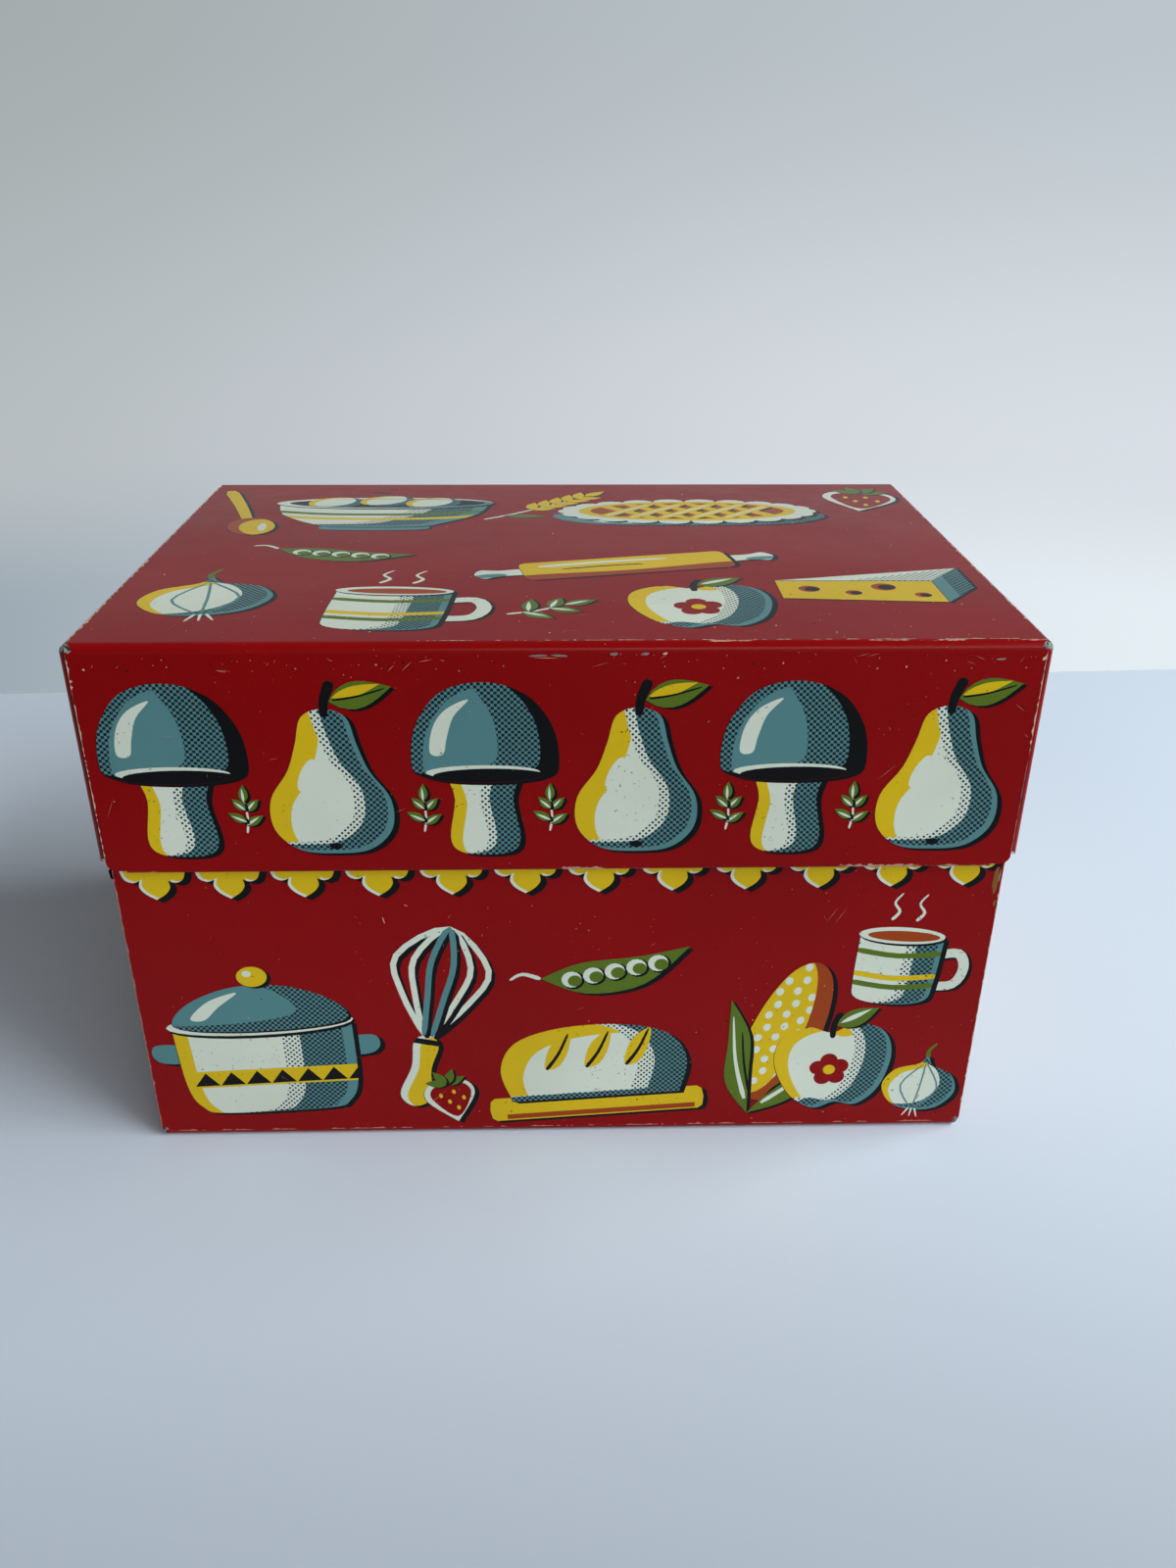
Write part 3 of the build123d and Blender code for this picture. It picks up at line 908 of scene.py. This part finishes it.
# ---- the CAD nodes: printed outside, bare tin inside ----
# Each test says whether a face's centre lies on a plane, on a cylinder along an axis or on a ball.
X, Y, Z = range(3)
PLANE_REACH = 0.02
CURVE_REACH = 0.04        # a facet's centre lies a little inside the curve
PRINTED, BARE, CUT = range(3)


def flat(axis, value):
    return lambda p: abs(p[axis] - value) < PLANE_REACH


def arc(a, b, radius, axes=(Y, Z)):
    return lambda p: abs(hypot(p[axes[0]] - a, p[axes[1]] - b) - radius) < CURVE_REACH


def ball(x, y, z, radius):
    return lambda p: abs(hypot(p.x - x, p.y - y, p.z - z) - radius) < CURVE_REACH


def wrap_faces(front, level, fold_z):
    """The printed faces that both wraps have: walls, a level sheet, two folds and the knuckles."""
    return [
        flat(Y, front), flat(Y, BACK), flat(Z, level),
        arc(front + WRAP_FOLD, fold_z, WRAP_FOLD), arc(BACK - WRAP_FOLD, fold_z, WRAP_FOLD),
        arc(HINGE_Y, RIM, BARREL),
    ]


def end_faces(end, front, fold_z):
    """The printed faces that all end panels have: a plate, three bends and two pressed corners."""
    x = end - END_FOLD
    faces = [flat(X, end), arc(x, fold_z, END_FOLD, (X, Z))]
    for y in (front + SHEET + END_FOLD, BACK - SHEET - END_FOLD):
        faces += [arc(x, y, END_FOLD, (X, Y)), ball(x, y, fold_z, END_FOLD)]
    return faces


def dress(names, outer, red, edge_axis=None):
    """Gives each face of the nodes the printed or bare material, or the cut edge's where it faces an axis."""
    for name in names:
        mesh = frame["nodes"][name].data
        mesh.materials.clear()
        for material in (red, tin_inside, cut_edge):
            mesh.materials.append(material)
        for face in mesh.polygons:
            p = face.center / MM
            p.x = abs(p.x)
            if edge_axis is not None and abs(face.normal[edge_axis]) > 0.9:
                face.material_index = CUT
            else:
                face.material_index = PRINTED if any(test(p) for test in outer) else BARE


lid_red = printed(
    "lid_litho", RED,
    edges=[
        near_plane(X, LID_EDGE, 0.1),
        near_fold(LID_FRONT + 1.0, TOP, 0.26, 0.6, 0.0016),
        near_fold(BACK - 0.5, TOP - 0.2, 0.4, 0.55),
        near_fold(LID_FRONT, LID_BOTTOM + 0.3, 0.4, 0.58, 0.001),
    ],
    bare_and_shaded=[
        near_corner(LID_END - 0.3, LID_FRONT + 0.6, TOP - 0.6, 1.0),
        near_corner(LID_END - 0.3, BACK - 0.6, TOP - 0.6, 1.0),
        near_corner(LID_EDGE, LID_FRONT + 0.2, TOP - 0.2, 0.9),
    ],
    # painted shade: a dark line in the crevice beside the end panel's bend
    seam_shades=[seam_shade_from(X, LID_EDGE + 0.06, 0.3)],
)
base_red = printed(
    "base_litho", RED,
    edges=[
        near_plane(X, BASE_EDGE, 0.14),
        near_fold(BASE_FRONT + 0.3, 0.3, 0.4, 0.56),
        near_fold(BASE_FRONT + 0.1, RIM - 0.1, 0.35, 0.5),
    ],
    bare_and_shaded=[near_corner(BASE_END - 0.3, y, 0.6, 1.3) for y in (BASE_FRONT + 0.6, BACK - 0.6)],
)
tin_inside = bare_tin("bare_tin")
cut_edge = raw_edge("cut_edge")

lid_roll = arc(LID_FRONT + ROLL, LID_BOTTOM + ROLL, ROLL)
dress(["lid_wrap"], [*wrap_faces(LID_FRONT, TOP, TOP - WRAP_FOLD), lid_roll], lid_red, X)
base_hem = [arc(BASE_FRONT + HEM, RIM - HEM, HEM), flat(Y, BASE_FRONT + 2 * HEM)]
dress(["base_wrap"], wrap_faces(BASE_FRONT, 0, WRAP_FOLD) + base_hem, base_red, X)
lid_end_roll = arc(LID_END - ROLL, LID_END_BOTTOM + ROLL, ROLL, (X, Z))
lid_end_faces = [*end_faces(LID_END, LID_FRONT, TOP - SHEET - END_FOLD), lid_end_roll]
dress(["lid_end_left", "lid_end_right"], lid_end_faces, lid_red)
base_end_hem = [arc(BASE_END - HEM, RIM - HEM, HEM, (X, Z)), flat(X, BASE_END - 2 * HEM)]
base_end_faces = end_faces(BASE_END, BASE_FRONT, SHEET + END_FOLD) + base_end_hem
dress(["base_end_left", "base_end_right"], base_end_faces, base_red)
wire_mesh = frame["nodes"]["hinge_wire"].data
wire_mesh.materials.clear()
wire_mesh.materials.append(wire_steel("hinge_wire_steel"))


# ---- the print, one thin sheet of ink per face ----
INK_HEIGHT = 0.012        # above the face
MERGE = 1e-4              # points nearer than this become one
ink_materials = {name: printed("ink_" + name, ink, spotted=name in PALE) for name, ink in INKS.items()}
for name, (ground, *dots) in HALFTONES.items():
    ink_materials[name] = printed("ink_" + name, ground, dots)
ink_names = list(ink_materials)


def ink_of(shapes, covering):
    """The ink that shows where the given shapes lie over each other, or None for the sheet's own red."""
    for i in sorted(covering, reverse=True):
        ink, _, inside, outside = shapes[i]
        if ink and covering.issuperset(inside) and covering.isdisjoint(outside):
            return None if ink == "red" else ink
    return None


def cut_up(shapes):
    """Cuts overlapping shapes into parts: all points, and a (part, ink) pair for each part that shows."""
    points, loops = [], []
    for _, outline, _, _ in shapes:
        turned = sum(a[0] * b[1] - b[0] * a[1] for a, b in zip(outline, outline[1:] + outline[:1]))
        loops.append(list(range(len(points), len(points) + len(outline))))
        points.extend(Vector(p) for p in (outline if turned > 0 else outline[::-1]))
    flat_points, _, parts, _, _, sources = delaunay_2d_cdt(points, [], loops, 1, MERGE, True)
    inks = [ink_of(shapes, set(covering)) for covering in sources]
    return flat_points, [(part, ink) for part, ink in zip(parts, inks) if ink]


def print_sheet(face, origin, across, upward, body, draw):
    """Makes a face's shapes into one flat mesh, each part in the ink that shows there."""
    shapes = []
    draw(shapes)
    points, parts = cut_up(shapes)
    used = sorted({i for part, _ in parts for i in part})
    index = {old: new for new, old in enumerate(used)}
    across, upward = Vector(across), Vector(upward)
    lift = Vector(origin) + across.cross(upward) * INK_HEIGHT
    verts = [(lift + across * points[i].x + upward * points[i].y) * MM for i in used]
    mesh = bpy.data.meshes.new("print_" + face)
    mesh.from_pydata(verts, [], [[index[i] for i in part] for part, _ in parts])
    inks = sorted({ink for _, ink in parts}, key=ink_names.index)
    for ink in inks:
        mesh.materials.append(ink_materials[ink])
    for polygon, (_, ink) in zip(mesh.polygons, parts):
        polygon.material_index = inks.index(ink)
    layer = mesh.uv_layers.new(name=PRINT_MAP)
    for loop in mesh.loops:
        layer.data[loop.index].uv = points[used[loop.vertex_index]]
    piece = bpy.data.objects.new("print_" + face, mesh)
    bpy.context.scene.collection.objects.link(piece)
    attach(piece, body)


UP = (0, 0, 1)
for face in (             # name, origin, right, up, body and print
    ("lid_front", (0, LID_FRONT, 0), (1, 0, 0), UP, "lid", print_lid_front),
    ("lid_top", (0, 0, TOP), (1, 0, 0), (0, 1, 0), "lid", print_lid_top),
    ("lid_left", (-LID_END, 0, 0), (0, -1, 0), UP, "lid", print_lid_end),
    ("lid_right", (LID_END, 0, 0), (0, 1, 0), UP, "lid", print_lid_end),
    ("lid_back", (0, BACK, 0), (-1, 0, 0), UP, "lid", print_lid_back),
    ("base_front", (0, BASE_FRONT, 0), (1, 0, 0), UP, "base", print_base_front),
    ("base_left", (-BASE_END, 0, 0), (0, -1, 0), UP, "base", print_base_left),
    ("base_right", (BASE_END, 0, 0), (0, 1, 0), UP, "base", print_base_right),
    ("base_back", (0, BACK, 0), (-1, 0, 0), UP, "base", print_base_back),
):
    print_sheet(*face)


# ---- floor ----
WALL_FOOT = (708, 683)    # pixels down the picture, at its left and its right edge
FLOOR_REACH = 1.6         # metres to each side, and from the wall's foot to the front


def pale_floor(name):
    """Pale paper with a broad band of shade in front of the box."""
    s = Shader(name)
    pale = linear(216, 227, 241)
    duller = [c * 0.97 for c in pale[:3]] + [1]
    y = s.axes()[1]
    # The shade grows from under the box to 230 mm before its middle and fades from 320 to 700 mm
    shaded = s.math("MULTIPLY", s.step(y, -230, -16, 1.0, 0.0), s.step(y, -700, -320))
    tint = s.mix(s.step(s.noise(260.0), 0.35, 0.65), pale, duller)
    tint = s.mix(shaded, tint, linear(134, 142, 150))
    return s.finish(Base_Color=tint, Roughness=0.6, Normal=s.bump([(s.noise(0.5), 0.004)]))


far_left, far_right = floor_point(0, WALL_FOOT[0]), floor_point(PICTURE[0], WALL_FOOT[1])
along = (far_right - far_left).normalized() * FLOOR_REACH
middle = (far_left + far_right) / 2
near = Vector((along.y, -along.x, 0))
corners = [middle - along, middle + along, middle + along + near, middle - along + near]
floor_mesh = bpy.data.meshes.new("floor")
floor_mesh.from_pydata(corners, [], [(3, 2, 1, 0)])
floor_mesh.materials.append(pale_floor("pale_floor"))
floor = bpy.data.objects.new("floor", floor_mesh)
bpy.context.scene.collection.objects.link(floor)

# ---- wall, which is the world's own colour ----
world = bpy.data.worlds.new("studio")
world.use_nodes = True
bpy.context.scene.world = world
studio = Nodes(world.node_tree)
place = studio.add("ShaderNodeTexCoord").outputs["Generated"]
towards = studio.add("ShaderNodeSeparateXYZ", [place]).outputs  # a direction's x, y and z


def wall_light_and_shade(foot, middle, head):
    """A wall with painted light and shade, which changes from its foot, showing low in the picture, to its
    head.
    """
    lower = studio.mix(studio.step(towards[2], -0.3, -0.2), foot, middle)
    return studio.mix(studio.step(towards[2], -0.2, 0.1), lower, head)


# painted light and shade: the wall is brighter to the right, and on the left a band of painted shade lies
# low, near its foot
left_wall = wall_light_and_shade(linear(144, 157, 167), linear(176, 183, 186), linear(158, 166, 165))
right_wall = wall_light_and_shade(linear(229, 238, 244), linear(217, 223, 230), linear(188, 197, 204))
wall = studio.mix(studio.step(towards[0], -0.67, 0.5), left_wall, right_wall)
# Above the picture the wall is darker, which the lid's top mirrors
wall = studio.mix(studio.step(towards[2], 0.22, 0.32), wall, linear(150, 158, 164))
path = studio.add("ShaderNodeLightPath").outputs
seen = studio.math("MAXIMUM", path["Is Camera Ray"], path["Is Glossy Ray"])
seen = studio.math("MAXIMUM", seen, path["Is Transmission Ray"])
shown = studio.add("ShaderNodeBackground", [wall, 1.0]).outputs[0]
# The wall behind the box throws some light on the box's back
ambient_strength = studio.step(towards[1], 0.25, 0.9, 0.025, 0.25)
ambient = studio.add("ShaderNodeBackground", [(1.0, 0.94, 0.86, 1.0), ambient_strength]).outputs[0]
either = studio.add("ShaderNodeMixShader", [seen, ambient, shown]).outputs[0]
studio.add("ShaderNodeOutputWorld", [either])

# ---- light ----
LAMP_TARGET = Vector((0, 0, 0.04))


def lamp(name, place, size, watts, colour):
    data = bpy.data.lights.new(name, "AREA")
    data.shape = "RECTANGLE"
    data.size, data.size_y = size
    data.energy = watts
    data.color = colour
    light = bpy.data.objects.new(name, data)
    light.location = place
    light.rotation_mode = "QUATERNION"
    light.rotation_quaternion = (LAMP_TARGET - Vector(place)).to_track_quat("-Z", "Y")
    bpy.context.scene.collection.objects.link(light)


lamp("window", (1.04, -0.26, 1.03), (1.38, 0.6), 24.0, (0.92, 0.98, 1.0))
lamp("front", (1.2, -2.1, 1.15), (3.2, 1.1), 36.0, (0.98, 0.99, 1.0))
lamp("left", (-1.89, -0.27, 0.17), (2.5, 0.84), 3.6, (1.0, 0.88, 0.74))
bpy.context.scene.view_settings.view_transform = "Standard"
